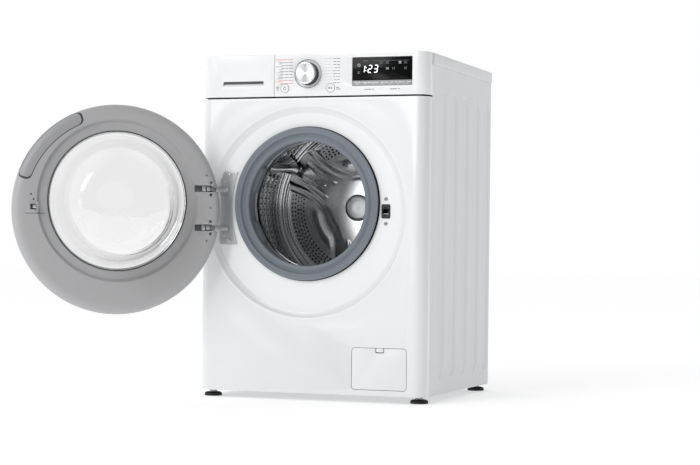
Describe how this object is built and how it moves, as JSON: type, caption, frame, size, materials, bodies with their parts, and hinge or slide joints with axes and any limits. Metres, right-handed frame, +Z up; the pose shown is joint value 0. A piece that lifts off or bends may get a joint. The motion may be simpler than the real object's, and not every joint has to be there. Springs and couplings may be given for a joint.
{
  "type": "front load washing machine",
  "caption": "Front load washing machine with a dished round door opening, a swung glass door, a spinning drum, a detergent drawer and a control panel.",
  "frame": {"origin": "middle of the underside of the front left foot", "axes": "+Z up, -Y towards the user, +X to the right as seen from the front"},
  "size_m": [0.9485, 0.9296, 0.85],
  "materials": {
    "side_enamel": "satin enamel on pressed steel",
    "worktop_board": "white melamine faced board",
    "front_enamel": "gloss enamel on pressed steel",
    "white_plastic": "smooth moulding",
    "grey_plastic": "fine satin moulding",
    "silver_plastic": "silver painted moulding",
    "dark_plastic": "black moulding",
    "display_glass": "black glossy acrylic",
    "clear_plastic": "clear polycarbonate dome",
    "clear_glass": "pressed borosilicate glass",
    "gasket_rubber": "moulded grey rubber",
    "stainless": "stainless steel sheet and rod",
    "zinc_steel": "zinc plated steel",
    "cast_alloy": "die cast",
    "ballast": null,
    "tub_plastic": "filled polypropylene",
    "copper": "laminations and windings",
    "board": "circuit board"
  },
  "bodies": {
    "cabinet": {"side_panel_left": "side_enamel", "side_panel_right": "side_enamel", "worktop": "worktop_board", "front_panel": "front_enamel", "control_panel": "white_plastic", "inlet_valve": "white_plastic", "display_strip": "grey_plastic", "dispenser_housing": "grey_plastic", "base_pan": "grey_plastic", "drain_outlet": "grey_plastic", "knob_ring": "dark_plastic", "door_lock": "dark_plastic", "drain_pump": "dark_plastic", "cord_gland": "dark_plastic", "damper_left": "dark_plastic", "damper_right": "dark_plastic", "display_window": "display_glass", "door_gasket": "gasket_rubber", "gasket_clamp": "stainless", "heater": "stainless", "bearing_front": "stainless", "bearing_rear": "stainless", "spring_left": "stainless", "spring_right": "stainless", "rear_panel": "zinc_steel", "rear_cover": "zinc_steel", "top_crossbar": "zinc_steel", "hinge_bracket": "zinc_steel", "counterweight_upper": "ballast", "counterweight_lower": "ballast", "tub_front": "tub_plastic", "tub_rear": "tub_plastic", "stator": "copper", "control_board": "board"},
    "door": {"door_outer_ring": "silver_plastic", "door_window_cover": "clear_plastic", "door_inner_frame": "grey_plastic", "door_glass": "clear_glass", "hinge_pin": "stainless"},
    "latch": {"door_hook": "zinc_steel"},
    "drawer": {"drawer_front": "white_plastic", "drawer_tray": "white_plastic", "softener_cover": "grey_plastic"},
    "knob": {"program_knob": "silver_plastic"},
    "power_key": {"power_button": "silver_plastic"},
    "start_key": {"start_button": "silver_plastic"},
    "drum": {"drum_shell": "stainless", "drum_back_plate": "stainless", "lifter_left": "grey_plastic", "lifter_right": "grey_plastic", "lifter_bottom": "grey_plastic", "drum_spider": "cast_alloy", "drum_shaft": "stainless", "rotor": "zinc_steel"},
    "filter": {"pump_filter": "grey_plastic"},
    "flap": {"filter_flap": "front_enamel"},
    "foot_1": {"foot_front_left": "dark_plastic"},
    "foot_2": {"foot_front_right": "dark_plastic"},
    "foot_3": {"foot_rear_left": "dark_plastic"},
    "foot_4": {"foot_rear_right": "dark_plastic"}
  },
  "joints": [
    {"name": "door_hinge", "type": "hinge", "parent": "cabinet", "child": "door", "pos_m": [0.019, -0.072, 0.468], "axis": [0, 0, 1], "range_deg": [0, 143]},
    {"name": "door_hook_pivot", "type": "hinge", "parent": "door", "child": "latch", "pos_m": [-0.31734, -0.36176, 0.464], "axis": [0, 0, -1], "range_deg": [0, 8], "stiffness_Nm_per_rad": 0.5},
    {"name": "drawer_slide", "type": "slide", "parent": "cabinet", "child": "drawer", "axis": [0, -1, 0], "range_m": [0, 0.18]},
    {"name": "knob_turn", "type": "hinge", "parent": "cabinet", "child": "knob", "pos_m": [0.26, -0.05, 0.801], "axis": [0, 1, 0], "continuous": true},
    {"name": "power_press", "type": "slide", "parent": "cabinet", "child": "power_key", "axis": [0, 1, 0], "range_m": [0, 0.0012], "stiffness_N_per_m": 900},
    {"name": "start_press", "type": "slide", "parent": "cabinet", "child": "start_key", "axis": [0, 1, 0], "range_m": [0, 0.0012], "stiffness_N_per_m": 900},
    {"name": "drum_spin", "type": "hinge", "parent": "cabinet", "child": "drum", "pos_m": [0.257, 0.21, 0.482], "axis": [0, 1, 0], "continuous": true},
    {"name": "filter_turn", "type": "hinge", "parent": "cabinet", "child": "filter", "pos_m": [0.4535, -0.01, 0.082], "axis": [0, 1, 0], "range_deg": [0, 360]},
    {"name": "flap_hinge", "type": "hinge", "parent": "cabinet", "child": "flap", "pos_m": [0.4535, -0.0385, 0.039], "axis": [1, 0, 0], "range_deg": [0, 90]},
    {"name": "foot_1_turn", "type": "hinge", "parent": "cabinet", "child": "foot_1", "pos_m": [0, 0, 0], "axis": [0, 0, 1], "continuous": true},
    {"name": "foot_2_turn", "type": "hinge", "parent": "cabinet", "child": "foot_2", "pos_m": [0.544, 0, 0], "axis": [0, 0, 1], "continuous": true},
    {"name": "foot_3_turn", "type": "hinge", "parent": "cabinet", "child": "foot_3", "pos_m": [0, 0.493, 0], "axis": [0, 0, 1], "continuous": true},
    {"name": "foot_4_turn", "type": "hinge", "parent": "cabinet", "child": "foot_4", "pos_m": [0.544, 0.493, 0], "axis": [0, 0, 1], "continuous": true}
  ]
}
